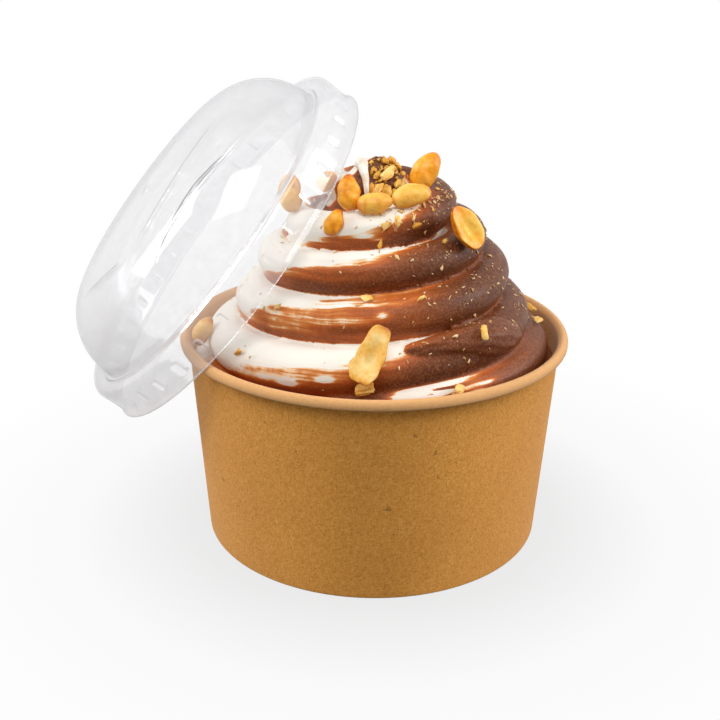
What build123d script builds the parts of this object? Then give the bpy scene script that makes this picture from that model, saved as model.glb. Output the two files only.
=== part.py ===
from build123d import *
import math
import os

# Paper dessert cup filled with a two-flavour soft-serve swirl and peanut pieces,
# with its clear dome lid taken off and leaning on the cup. Millimetres, +Z up.
# The origin is the centre of the cup's base, and -Y is the side that faces the viewer.

# Cup sizes
rim_diameter = 96.0
foot_inset = 5.4
cup_height = 52.6
board = 0.5
roll_width = 2.5
roll_height = 3.0
curl_gap = 0.25
base_recess = 6.0
hem_height = 5.0
seat_gap = 0.1
fold_radius = 0.35
lap_width = 7.0
lap_step = 0.3
lap_azimuth = 100.0

# Soft-serve sizes
fill_gap = 0.15
headroom = 6.6
rise_share = 0.8834
rope_share = 0.125
core_inset = 1.0
sections_per_turn = 12

# Rope of the swirl from its peak down: turns down from the top coil, then the rope
# centre's distance from the axis as a share of the rim's radius, its height above the
# rim as a share of the swirl's rise, and its own radius as a share of a full rope's.
# The swirl's rise and a full rope's radius are shares of the rim's radius themselves.
rope_shares = [
    (-0.92, 0.125, 0.882, 0.30),
    (-0.5, 0.179, 0.825, 0.60),
    (0.0, 0.304, 0.755, 0.75),
    (0.5, 0.358, 0.608, 0.78),
    (1.0, 0.454, 0.561, 0.80),
    (1.5, 0.496, 0.415, 0.83),
    (2.0, 0.575, 0.354, 0.87),
    (2.5, 0.596, 0.179, 0.91),
    (3.0, 0.679, 0.118, 0.90),
    (3.5, 0.742, -0.052, 0.98),
    (4.0, 0.804, -0.085, 0.78),
    (4.2, 0.775, -0.100, 0.70),
    (4.28, 0.765, -0.110, 0.40),
]
# Peak above the top coil, in shares of the rim's radius and of the swirl's rise
peak_shares = [(0.185, 0.810), (0.150, 0.890), (0.085, 0.970), (0.0, 1.0)]
# Short folded-over rope on the lowest coil, in the same four values
fold_shares = [
    (3.075, 0.755, 0.115, 0.50),
    (3.10, 0.755, 0.140, 0.72),
    (3.125, 0.755, 0.158, 0.72),
    (3.15, 0.755, 0.170, 0.58),
    (3.175, 0.755, 0.178, 0.44),
    (3.21, 0.750, 0.165, 0.22),
]

# Peanut sizes
nut_length = 12.0
nut_width = 7.6
nut_blunt_share = 0.42
dent_share = 0.5
nut_gap = 0.15
chip_length = 4.2
chip_width = 3.2
chip_depth = 1.9
chip_slope = 18
# Corners of a broken piece, in shares of its length and width
chip_corner_shares = [(-0.5, -0.25), (0.15, -0.5), (0.5, -0.1), (0.3, 0.45), (-0.3, 0.5)]

# Peanut halves on the swirl, in degrees and shares: turn of the rope that carries it,
# angle round that rope (0 outward, 90 up), spin of its long axis off the rope's run,
# tip of that axis off the rope's face, roll about it, slide along it, size share
nut_place_shares = [
    (0.033, 100, 306, 44, 62, -0.19, 0.82),
    (0.293, 67, 96, 44, -9, 0.48, 0.71),
    (0.237, 80, 0, 0, 33, -0.09, 0.69),
    (0.148, 81, -21, 10, 21, -0.15, 0.78),
    (1.098, 37, 104, 8, 163, 0.21, 0.92),
    (3.249, 34, 62, 1, 185, 0.08, 1.12),
    (0.315, 38, 64, 10, 14, -0.11, 0.54),
    (0.468, 67, 147, 53, 0, -0.06, 0.80),
    (-0.570, 30, 22, 0, 20, -0.20, 0.60),
    (3.460, 30, 80, 0, 30, -0.20, 0.66),
]
# Broken peanut pieces: turn, angle round the rope, spin and size share
chip_place_shares = [
    (-0.82, 66, 20, 1.05),
    (-0.87, 0, 70, 0.80),
    (-0.76, 10, 30, 0.90),
    (0.205, 28, 60, 0.72),
    (0.225, 19, 5, 0.70),
    (0.238, -18, 70, 0.68),
    (0.172, 34, 40, 0.80),
    (2.25, 76, 0, 0.75),
    (2.188, 52, 20, 0.72),
    (3.253, -12, 10, 1.15),
    (4.17, 30, 60, 0.85),
    (3.383, 32, 30, 0.70),
    (2.357, 35, 15, 0.66),
    (3.99, 68, 25, 0.85),
    (3.95, 50, 60, 0.80),
]
# Piece on the folded-over rope, in the same four values
fold_chip_shares = [(3.14, 40, 50, 0.95)]

# Lid sizes
lid_sheet = 0.5
lid_clearance = 1.2
lid_flare = 0.8
lid_flare_height = 1.4
lid_skirt_height = 7.8
lid_bead_radius = 2.4
lid_groove_radius = 0.6
lid_groove_angle = 150
lid_wall_height = 9.6
lid_height = 28.2
lid_crown_radius = 250.0
lug_count = 36
lug_length = 3.8
lug_width = 1.2
lug_depth = 0.8
lug_height = 2.2

# Place of the lid as it leans on the cup: centre of its open edge from the rim's centre,
# in shares of the rim's radius, tilt of its axis from upright, and the azimuth it faces
lid_place_shares = (-0.785, 0.375, 0.258)
lid_tilt = 51.1
lid_azimuth = 12.8

# Spare length that lets a cut or a joined piece run past the face it crosses
overrun = 0.2
# Angle of a quarter turn, in degrees
quarter_turn = 90


def wall_radius(height):
    """Radius of the cup's outer face at a height."""
    roll_centre = cup_height - roll_height / 2
    flare = foot_inset - roll_width + board
    return rim_diameter / 2 - foot_inset + flare * height / roll_centre


def turned(face, angle=360):
    """Solid of revolution of a face drawn in the XZ plane."""
    return revolve(face, axis=Axis.Z, revolution_arc=angle)


def outline(points):
    """Face in the XZ plane through (distance from the axis, height) points."""
    return make_face(Plane.XZ * Polyline(*points, close=True))


def make_side_wall():
    """One paperboard blank: rolled rim, conical wall, hem folded up inside the base."""
    roll_centre = cup_height - roll_height / 2
    channel = board + 2 * seat_gap
    foot = [
        (wall_radius(0), 0),
        (wall_radius(roll_centre), roll_centre),
        (wall_radius(roll_centre) - board, roll_centre),
        (wall_radius(board) - board, board),
        (wall_radius(board) - board - channel, board),
        (wall_radius(hem_height) - board - channel, hem_height),
        (wall_radius(hem_height) - 2 * board - channel, hem_height),
        (wall_radius(0) - 2 * board - channel, 0),
    ]
    section = outline(foot)
    folds = section.vertices().sort_by(Axis.Z)[:2]
    section = fillet(folds, fold_radius)

    centre = Plane.XZ * Pos(rim_diameter / 2 - roll_width / 2, roll_centre)
    curl = centre * Ellipse(roll_width / 2, roll_height / 2)
    curl -= centre * Ellipse(roll_width / 2 - board, roll_height / 2 - board)
    inner = wall_radius(roll_centre) - board
    mouth = wall_radius(roll_centre) + curl_gap
    curl -= outline([
        (inner, roll_centre),
        (mouth, roll_centre),
        (mouth, roll_centre - roll_height),
        (inner, roll_centre - roll_height),
    ])
    wall = turned(section) + turned(curl)

    low = fold_radius
    high = roll_centre - roll_height / 2 - curl_gap
    strip = outline([
        (wall_radius(low) - board / 2, low),
        (wall_radius(low) + lap_step, low),
        (wall_radius(high) + lap_step, high),
        (wall_radius(high) - board / 2, high),
    ])
    lap_angle = math.degrees(lap_width / wall_radius(cup_height / 2))
    lap = Rot(Z=lap_azimuth) * turned(strip, lap_angle)
    return wall + lap


def make_base_disc():
    """Recessed base: a flat disc whose skirt is clamped between the wall and its hem."""
    foot = board + seat_gap
    top = base_recess + board
    inset = board + seat_gap
    return turned(outline([
        (wall_radius(foot) - inset, foot),
        (wall_radius(top) - inset, top),
        (0, top),
        (0, base_recess),
        (wall_radius(base_recess) - inset - board, base_recess),
        (wall_radius(foot) - inset - board, foot),
    ]))


def rope_at(turn, rows=rope_shares):
    """Distance from the axis, height and radius of the rope, smooth between its rows."""
    last = len(rows) - 1
    row = max(i for i in range(last) if rows[i][0] <= turn or i == 0)
    before, after = rows[row], rows[row + 1]
    step = (turn - before[0]) / (after[0] - before[0])
    values = []
    for column in (1, 2, 3):
        ends = []
        for i in (row, row + 1):
            low, high = rows[max(i - 1, 0)], rows[min(i + 1, last)]
            ends.append((high[column] - low[column]) / (high[0] - low[0]) * (after[0] - before[0]))
        rise = after[column] - before[column]
        bend = (1 - step) * ends[0] - step * ends[1] + (2 * step - 1) * rise
        values.append(before[column] + step * rise + step * (1 - step) * bend)
    distance, height, radius = values
    rim_radius = rim_diameter / 2
    rise = height * rise_share * rim_radius
    return distance * rim_radius, cup_height + rise, radius * rope_share * rim_radius


def rope_frame(turn, rows=rope_shares):
    """Plane square to the rope at its centre, with X outward; the rope climbs anticlockwise."""
    first, last = rows[0][0], rows[-1][0]
    nudge = 1 / (100 * sections_per_turn)
    spots = []
    for place in (max(turn - nudge, first), turn, min(turn + nudge, last)):
        distance, height, _ = rope_at(place, rows)
        angle = -2 * math.pi * place
        spots.append(Vector(distance * math.cos(angle), distance * math.sin(angle), height))
    along = spots[2] - spots[0]
    outward = Vector(math.cos(2 * math.pi * turn), -math.sin(2 * math.pi * turn), 0)
    square = outward - along * (outward.dot(along) / along.dot(along))
    return Plane(origin=spots[1], x_dir=square, z_dir=along)


def rope_stretch(first, last, rows=rope_shares):
    """Part of a rope, lofted through round sections square to its path."""
    count = max(round((last - first) * sections_per_turn), 4)
    turns = [first + (last - first) * i / count for i in range(count + 1)]
    return loft([rope_frame(turn, rows) * Circle(rope_at(turn, rows)[2]) for turn in turns])


def make_soft_serve():
    """Filling, swirl and folded rope as one frozen mass."""
    floor = base_recess + board + fill_gap
    inset = board + fill_gap
    fill_level = cup_height - headroom
    bed = rope_at(3.5)
    line = [
        (0, floor),
        (wall_radius(floor) - inset, floor),
        (wall_radius(fill_level) - inset, fill_level),
        (bed[0], bed[1] - bed[2] / 2),
    ]
    neck = []
    for turn in (2.5, 1.5, 0.5, -0.5):
        lower, upper = rope_at(turn + 1), rope_at(turn)
        neck.append(((lower[0] + upper[0]) / 2 - core_inset, (lower[1] + upper[1]) / 2))
    line += neck
    rim_radius = rim_diameter / 2
    line += [(x * rim_radius, cup_height + z * rise_share * rim_radius) for x, z in peak_shares]
    ends = (rope_shares[0][0], 0, 1, 2, 3, 3.5, rope_shares[-1][0])
    ropes = [rope_stretch(first, last) for first, last in zip(ends, ends[1:])]
    ropes.append(rope_stretch(fold_shares[0][0], fold_shares[-1][0], fold_shares))
    return turned(outline(line)) + ropes


def seated(shape, turn, side, spin, rows=rope_shares):
    """A shape laid on the rope: Z off the rope's face, X along the rope's climb."""
    radius = rope_at(turn, rows)[2] + nut_gap
    spot = rope_frame(turn, rows) * Rot(Z=side) * Pos(X=radius) * Rot(Y=quarter_turn)
    return spot * Rot(Z=spin) * shape


def egg_half(length, width, angle=180):
    """Half an egg above the XY plane, blunt end towards -X."""
    blunt = length * nut_blunt_share
    point = length - blunt
    rear = EllipticalCenterArc((0, 0), blunt, width / 2, quarter_turn, arc_size=quarter_turn)
    front = EllipticalCenterArc((0, 0), point, width / 2, 0, arc_size=quarter_turn)
    face = make_face(Curve() + [rear, front, Line((-blunt, 0), (point, 0))])
    return revolve(face, axis=Axis.X, revolution_arc=angle)


def make_nut(turn, side, spin, tip, roll, slide, size):
    """Half a peanut resting on the rope by its lowest point."""
    length = nut_length * size
    width = nut_width * size
    dent = egg_half(length * dent_share, width * dent_share, 360)
    nut = egg_half(length, width) - Pos(Z=-width * dent_share / 4) * dent
    nut = Rot(Y=-tip) * Rot(X=roll) * nut
    lift = -nut.bounding_box().min.Z
    return seated(Pos(X=length * slide, Z=lift) * nut, turn, side, spin)


def make_chip(turn, side, spin, size, rows=rope_shares):
    """A broken piece of peanut on the rope."""
    corners = [(x * chip_length * size, y * chip_width * size) for x, y in chip_corner_shares]
    face = make_face(Polyline(*corners, close=True))
    chip = extrude(face, amount=chip_depth * size, taper=chip_slope)
    return seated(chip, turn, side, spin, rows)


def lid_line(inset):
    """Half section of the lid, from its open edge to its top, one face of the sheet."""
    skirt = rim_diameter / 2 + lid_clearance + lid_sheet
    bead = (skirt - lid_bead_radius, lid_skirt_height)
    bead_radius = lid_bead_radius - inset
    turn = math.radians(lid_groove_angle)
    reach = lid_bead_radius + lid_groove_radius
    groove = (bead[0] + reach * math.cos(turn), bead[1] + reach * math.sin(turn))
    groove_radius = lid_groove_radius + inset
    wall = groove[0] - groove_radius
    dome = lid_height - lid_wall_height
    crown = lid_crown_radius
    outside = wall + inset
    shoulder = (2 * dome * crown - outside**2 - dome**2) / (2 * (crown - outside))
    shoulder_centre = (outside - shoulder, lid_wall_height)
    crown_centre = (0, lid_height - crown)
    meet = math.degrees(math.atan2(shoulder_centre[1] - crown_centre[1], shoulder_centre[0]))
    return [
        Line((skirt + lid_flare - inset, 0), (skirt - inset, lid_flare_height)),
        Line((skirt - inset, lid_flare_height), (skirt - inset, lid_skirt_height)),
        CenterArc(bead, bead_radius, 0, lid_groove_angle),
        CenterArc(groove, groove_radius, lid_groove_angle - 180, -lid_groove_angle),
        Line((wall, groove[1]), (wall, lid_wall_height)),
        CenterArc(shoulder_centre, shoulder - inset, 0, meet),
        CenterArc(crown_centre, crown - inset, meet, quarter_turn - meet),
    ]


def make_lid():
    """Clear dome lid: flared edge, skirt with snap lugs, bead over the rim, groove and dome."""
    outer, inner = lid_line(0), lid_line(lid_sheet)
    top = Line(outer[-1] @ 1, inner[-1] @ 1)
    edge = Line(inner[0] @ 0, outer[0] @ 0)
    lid = turned(make_face(Plane.XZ * (Curve() + outer + [top] + inner + [edge])))
    inside = rim_diameter / 2 + lid_clearance
    lug_face = make_face(Polyline(
        (inside + overrun, -lug_width / 2),
        (inside + overrun, lug_width / 2),
        (inside - lug_depth, 0),
        close=True,
    ))
    lug = Pos(Z=lug_height) * extrude(lug_face, amount=lug_length)
    return lid + [Rot(Z=360 * (i + 0.5) / lug_count) * lug for i in range(lug_count)]


def lean(lid):
    """The lid tilted against the cup and the swirl."""
    radius = rim_diameter / 2
    x, y, z = (share * radius for share in lid_place_shares)
    return Pos(x, y, cup_height + z) * Rot(Z=lid_azimuth) * Rot(Y=-lid_tilt) * lid


os.makedirs("parts", exist_ok=True)
nuts = [make_nut(*place) for place in nut_place_shares]
chips = [make_chip(*place) for place in chip_place_shares]
chips += [make_chip(*place, fold_shares) for place in fold_chip_shares]
nodes = {
    "side_wall": make_side_wall(),
    "base_disc": make_base_disc(),
    "soft_serve": make_soft_serve(),
    "dome_lid": lean(make_lid()),
}
nodes.update({f"peanut_half_{i + 1}": nut for i, nut in enumerate(nuts)})
nodes.update({f"peanut_chip_{i + 1}": chip for i, chip in enumerate(chips)})
for name, shape in nodes.items():
    shape.label = name
    export_step(shape, f"parts/{name}.step")
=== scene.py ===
import math
import random

import bmesh
import bpy
import numpy as np
from mathutils import Matrix, Vector
from mathutils.bvhtree import BVHTree


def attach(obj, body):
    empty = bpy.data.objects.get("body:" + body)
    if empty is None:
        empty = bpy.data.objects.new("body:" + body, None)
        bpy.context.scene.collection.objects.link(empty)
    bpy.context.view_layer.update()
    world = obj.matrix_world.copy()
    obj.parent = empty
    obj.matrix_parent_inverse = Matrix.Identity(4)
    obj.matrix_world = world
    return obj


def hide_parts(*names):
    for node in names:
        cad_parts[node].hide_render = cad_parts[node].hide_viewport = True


# Paper dessert cup with a two-flavour soft-serve swirl, peanut pieces and its clear
# dome lid taken off and leaning on the rim. Metres, +Z up, the viewer is on the -Y side.

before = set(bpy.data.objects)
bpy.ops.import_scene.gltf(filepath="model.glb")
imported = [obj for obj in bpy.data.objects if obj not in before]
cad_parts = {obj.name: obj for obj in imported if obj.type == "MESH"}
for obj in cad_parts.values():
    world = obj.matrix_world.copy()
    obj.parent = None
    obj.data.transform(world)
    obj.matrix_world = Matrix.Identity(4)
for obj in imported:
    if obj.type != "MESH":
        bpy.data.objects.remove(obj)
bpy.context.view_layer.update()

MM = 0.001

# Cup, as in the part's source
rim_diameter = 96.0 * MM
foot_inset = 5.4 * MM
cup_height = 52.6 * MM
board = 0.5 * MM
roll_width = 2.5 * MM
roll_height = 3.0 * MM
curl_gap = 0.25 * MM
hem_height = 5.0 * MM
seat_gap = 0.1 * MM
base_recess = 6.0 * MM
lap_width = 7.0 * MM
lap_step = 0.3 * MM
lap_azimuth = 100.0
fill_gap = 0.15 * MM
fill_level = cup_height - 6.6 * MM

# Swirl, as in the part's source
swirl_rise = 0.8834 * rim_diameter / 2
rope_radius = 0.125 * rim_diameter / 2
core_inset = 1.0 * MM
core_depth = 1.5 * MM
rope_shares = [
    (-0.92, 0.125, 0.882, 0.30),
    (-0.5, 0.179, 0.825, 0.60),
    (0.0, 0.304, 0.755, 0.75),
    (0.5, 0.358, 0.608, 0.78),
    (1.0, 0.454, 0.561, 0.80),
    (1.5, 0.496, 0.415, 0.83),
    (2.0, 0.575, 0.354, 0.87),
    (2.5, 0.596, 0.179, 0.91),
    (3.0, 0.679, 0.118, 0.90),
    (3.5, 0.742, -0.052, 0.98),
    (4.0, 0.804, -0.085, 0.78),
    (4.2, 0.775, -0.100, 0.70),
    (4.28, 0.765, -0.110, 0.40),
]
peak_shares = [(0.185, 0.810), (0.150, 0.890), (0.085, 0.970), (0.0, 1.0)]
fold_shares = [
    (3.075, 0.755, 0.115, 0.50),
    (3.10, 0.755, 0.140, 0.72),
    (3.125, 0.755, 0.158, 0.72),
    (3.15, 0.755, 0.170, 0.58),
    (3.175, 0.755, 0.178, 0.44),
    (3.21, 0.750, 0.165, 0.22),
]

# Peanuts, as in the part's source
nut_length = 12.0 * MM
nut_width = 7.6 * MM
nut_blunt_share = 0.42
nut_gap = 0.15 * MM
chip_length = 4.2 * MM
chip_width = 3.2 * MM
chip_depth = 1.9 * MM
nut_place_shares = [
    (0.033, 100, 306, 44, 62, -0.19, 0.82),
    (0.293, 67, 96, 44, -9, 0.48, 0.71),
    (0.237, 80, 0, 0, 33, -0.09, 0.69),
    (0.148, 81, -21, 10, 21, -0.15, 0.78),
    (1.098, 37, 104, 8, 163, 0.21, 0.92),
    (3.249, 34, 62, 1, 185, 0.08, 1.12),
    (0.315, 38, 64, 10, 14, -0.11, 0.54),
    (0.468, 67, 147, 53, 0, -0.06, 0.80),
    (-0.570, 30, 22, 0, 20, -0.20, 0.60),
    (3.460, 30, 80, 0, 30, -0.20, 0.66),
]
chip_place_shares = [
    (-0.82, 66, 20, 1.05),
    (-0.87, 0, 70, 0.80),
    (-0.76, 10, 30, 0.90),
    (0.205, 28, 60, 0.72),
    (0.225, 19, 5, 0.70),
    (0.238, -18, 70, 0.68),
    (0.172, 34, 40, 0.80),
    (2.25, 76, 0, 0.75),
    (2.188, 52, 20, 0.72),
    (3.253, -12, 10, 1.15),
    (4.17, 30, 60, 0.85),
    (3.383, 32, 30, 0.70),
    (2.357, 35, 15, 0.66),
    (3.99, 68, 25, 0.85),
    (3.95, 50, 60, 0.80),
]
fold_chip_shares = [(3.14, 40, 50, 0.95)]

# Flavours of the swirl: the upper edge of the chocolate goes round the rope once a turn,
# and leads or trails by these angles at these turns
edge_start = 130
chocolate_half = 105
edge_shares = [
    (-1.0, 0), (-0.75, 20), (-0.2, 30), (0.05, 26), (0.16, -12), (0.2, -20), (0.4, -20), (0.8, 10),
    (1.0, 30), (1.15, 45), (1.22, 32), (1.25, 20), (1.35, 20), (1.5, 0), (1.8, 10), (2.0, 35),
    (2.15, 50), (2.30, 60), (2.42, 18), (2.6, 0), (2.85, 20), (3.0, 35), (3.1, 45), (3.16, 28),
    (3.22, -3), (3.3, 8), (3.5, 0), (4.0, 15), (4.11, 25), (4.14, 5), (4.165, -25), (4.19, -70),
    (4.205, -110), (4.3, -120),
]
# How dark the chocolate gets at these turns; low values stay caramel
depth_shares = [
    (-1.0, 0.7), (0.0, 0.95), (0.16, 0.8), (0.25, 0.42), (0.35, 0.35), (0.5, 0.8), (1.0, 1.0), (1.15, 0.85),
    (1.26, 0.50), (1.38, 0.42), (1.6, 0.9), (2.0, 1.0), (2.13, 0.85), (2.20, 0.34), (2.28, 0.20),
    (2.42, 0.17), (2.6, 0.8), (3.0, 1.0), (3.2, 0.9), (3.26, 0.36), (3.42, 0.22), (3.6, 0.8), (4.0, 0.9),
    (4.09, 0.55), (4.15, 0.22), (4.2, 0.2),
]
# Vanilla showing through the chocolate, or chocolate in the vanilla where the strength is
# below 0: turn, angle round the rope, reach in turns and in degrees, strength
patch_shares = [
    (2.395, 2, 0.030, 6, 0.04), (2.345, 7, 0.030, 6, 0.06), (2.300, 10, 0.028, 7, 0.07),
    (2.262, 20, 0.020, 9, 0.10), (2.236, 30, 0.008, 10, 0.18), (0.262, -3, 0.022, 7, 0.14),
    (0.238, -14, 0.016, 8, 0.20), (3.322, -14, 0.009, 9, 0.25), (3.287, 4, 0.008, 7, 0.22),
    (4.150, 8, 0.014, 14, 0.30), (4.175, -10, 0.010, 8, 0.25), (4.135, 35, 0.012, 7, 0.20),
    (4.181, 47, 0.016, 5, -0.60), (4.173, 22, 0.012, 4, -0.50), (4.195, 33, 0.006, 4, -0.55),
    (-0.530, -28, 0.070, 38, 0.60),
]

# Broken bits heaped on the peak, then a few flakes of skin: place, spin, length, width and
# depth in millimetres, and how much is pale flesh, from 1, or brown skin, to 0
bit_places = [
    ((-0.8, -5.1, 92.4), 85, 2.9, 1.1, 0.9, 1.0), ((-0.6, -9.5, 89.4), 60, 2.9, 2.0, 1.3, 0.5),
    ((2.2, -8.7, 88.6), 20, 3.5, 3.0, 1.8, 1.0), ((4.5, -7.4, 88.5), 50, 2.3, 2.0, 1.5, 0.9),
    ((5.1, -7.0, 89.9), 10, 3.2, 2.7, 1.5, 1.0), ((11.0, -5.9, 87.6), 30, 2.3, 2.0, 1.4, 1.0),
    ((0.5, -2.4, 94.2), 0, 3.0, 2.2, 1.4, 0.4), ((2.2, -2.6, 94.1), 40, 2.6, 2.2, 1.5, 0.6),
    ((3.6, -1.2, 93.9), 80, 2.8, 2.0, 1.5, 0.5), ((5.2, -1.0, 92.8), 20, 2.6, 1.9, 1.3, 0.3),
    ((1.0, -4.6, 93.0), 70, 2.4, 1.8, 1.2, 0.6), ((0.7, -6.3, 91.7), 65, 4.2, 1.8, 1.3, 0.7),
    ((2.6, -4.6, 92.7), 15, 2.2, 1.6, 1.2, 0.9), ((3.9, -3.2, 92.7), 60, 2.0, 1.5, 1.1, 0.5),
    ((3.5, -6.1, 91.8), 30, 1.6, 1.1, 0.9, 1.0), ((4.8, -4.5, 91.9), 0, 1.5, 1.2, 0.9, 1.0),
    ((6.2, -1.7, 91.3), 50, 1.8, 1.3, 0.9, 0.2), ((1.2, -8.1, 91.0), 10, 1.5, 1.0, 0.8, 0.9),
    ((10.0, -17.5, 83.3), 20, 2.6, 1.6, 0.35, 0.0), ((16.5, -17.5, 79.5), 60, 2.4, 1.6, 0.35, 0.0),
    ((14.5, -5.3, 88.7), 10, 2.2, 1.4, 0.35, 0.0), ((13.6, -13.7, 85.9), 40, 1.5, 0.8, 0.6, 1.0),
]

# Thin tail of vanilla that hangs from the peak: place and radius in millimetres
tail_places = [
    (-4.6, -1.6, 93.6, 1.5), (-3.1, -2.8, 93.9, 1.4), (-2.8, -5.2, 92.9, 1.1), (-2.1, -8.6, 91.8, 0.85),
    (-1.8, -10.3, 89.8, 0.65), (-1.6, -10.6, 87.7, 0.5), (-1.5, -11.8, 86.0, 0.3),
]

# Lid, as in the part's source
lid_sheet = 0.5 * MM
lid_clearance = 1.2 * MM
lid_flare = 0.8 * MM
lid_flare_height = 1.4 * MM
lid_skirt_height = 7.8 * MM
lid_bead_radius = 2.4 * MM
lid_groove_radius = 0.6 * MM
lid_groove_angle = 150
lid_wall_height = 9.6 * MM
lid_height = 28.2 * MM
lid_crown_radius = 250.0 * MM
lug_count = 36
lug_length = 3.8 * MM
lug_width = 1.2 * MM
lug_depth = 0.8 * MM
lug_height = 2.2 * MM
lid_place_shares = (-0.785, 0.375, 0.258)
lid_tilt = 51.1
lid_azimuth = 12.8

# Creases in the lid's dome: ends of each, seen along the lid's axis
crease_ends = [
    ((26.9, -11.8), (-6.4, -28.4)),
    ((24.2, -29.7), (-5.2, -38.0)),
    ((-12.9, -26.4), (-27.7, -14.6)),
]

# Fineness of the meshes
steps_around_cup = 240
steps_around_lid = 12 * lug_count
steps_around_rope = 36
steps_around_core = 96
steps_around_tail = 20
sections_per_turn = 72
sections_of_tail = 60
rings_of_nut = 44
steps_around_nut = 56
voxel = 0.545 * MM

# Other sizes of this scene alone; angles without a unit in their name are radians
axis_gap = 0.2 * MM
seam_edge = 0.004
seam_share = 0.8
filling_gap = 0.1 * MM
lug_edge = 0.5 * MM
past_end = 200 * MM
flavour_blend = 0.55 * MM
fold_mixing = 0.1
random_spin = 6.28

# Form of a nut: depths are shares of its half width, powers above 1 make an end pointed
broken_nut = 6
blunt_end_power = 0.9
sharp_end_power = 1.08
flat_power = 0.75
flat_depth = 0.10
dent_depth = 0.34
nut_bend = 0.06
nut_lump = 0.022

# Broken bits: chips, crumbs on the swirl and the heap, whose first rows have company
chip_slimness = (0.62, 0.8, 1.0)
chip_corners = 10
crumb_corners = 8
bit_corners = 9
bit_bevel_share = 0.10
bit_sink = 0.1 * MM
crumb_count = 420
crumb_laps = (0, 0, 0, 1, 1, 2, 2, 3, 3)
crumb_side_degrees = (48, 26)
crumb_millimetres = (0.25, 0.3, 0.35, 0.4, 0.5, 0.6, 0.9)
last_crumb_turn = 4.15
heap_rows = 18
heap_companions = 3
heap_reach = 1.3

# Camera fitted to the photograph, which is square
camera_place = (9.73, -274.9, 154.9)
camera_turns = (0.3867, -0.0479, -0.0088)
focal_pixels = 1171.45
photo_pixels = 720
sensor_width = 36


def srgb(red, green, blue):
    """Linear colour with alpha from 0-255 display values."""
    values = [value / 255 for value in (red, green, blue)]
    linear = [v / 12.92 if v <= 0.04045 else ((v + 0.055) / 1.055) ** 2.4 for v in values]
    return (*linear, 1.0)


class Shading:
    """Nodes of a material or world: a socket given as a value is linked."""

    def __init__(self, owner):
        owner.use_nodes = True
        self.owner = owner
        self.tree = owner.node_tree
        self.tree.nodes.clear()

    def add(self, kind, settings=None, **inputs):
        node = self.tree.nodes.new("ShaderNode" + kind)
        for key, value in (settings or {}).items():
            setattr(node, key, value)
        for key, value in inputs.items():
            place = int(key[1:]) if key[0] == "n" and key[1:].isdigit() else key.replace("_", " ")
            self.put(node.inputs[place], value)
        return node

    def put(self, socket, value):
        if isinstance(value, bpy.types.NodeSocket):
            self.tree.links.new(value, socket)
        else:
            socket.default_value = value

    def shader(self, kind, **inputs):
        return self.add(kind, **inputs).outputs[0]

    def place(self):
        return self.add("TexCoord").outputs["Object"]

    def attribute(self, name, output="Fac"):
        return self.add("Attribute", {"attribute_name": name}).outputs[output]

    def vector(self, operation, first, second=(0, 0, 0)):
        node = self.add("VectorMath", {"operation": operation}, n0=first, n1=second)
        return node.outputs["Value" if operation in ("DOT_PRODUCT", "LENGTH") else "Vector"]

    def math(self, operation, *values):
        node = self.add("Math", {"operation": operation})
        for socket, value in zip(node.inputs, values):
            self.put(socket, value)
        return node.outputs[0]

    def mix(self, factor, first, second):
        node = self.add("MixRGB")
        for socket, value in zip(node.inputs, (factor, first, second)):
            self.put(socket, value)
        return node.outputs[0]

    def ramp(self, factor, stops):
        node = self.add("ValToRGB")
        self.put(node.inputs[0], factor)
        points = node.color_ramp.elements
        while len(points) < len(stops):
            points.new(0.5)
        for point, (place, colour) in zip(points, stops):
            point.position = place
            point.color = colour
        return node.outputs[0]

    def noise(self, vector, scale, detail=2.0, roughness=0.5):
        return self.shader("TexNoise", Vector=vector, Scale=scale, Detail=detail, Roughness=roughness)

    def bump(self, height, strength, distance, normal=None):
        node = self.add("Bump", Height=height, Strength=strength, Distance=distance)
        if normal is not None:
            self.put(node.inputs["Normal"], normal)
        return node.outputs[0]

    def seen(self):
        """1 for what the camera sees, straight or through a clear or shiny sheet, else 0."""
        path = self.add("LightPath").outputs
        shiny = self.math("MAXIMUM", path["Is Glossy Ray"], path["Is Transmission Ray"])
        return self.math("MAXIMUM", path["Is Camera Ray"], shiny)

    def finish(self, shader, output="OutputMaterial"):
        self.add(output, Surface=shader)
        return self.owner


def grey(value):
    """Linear grey with alpha."""
    return (value, value, value, 1.0)


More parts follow.
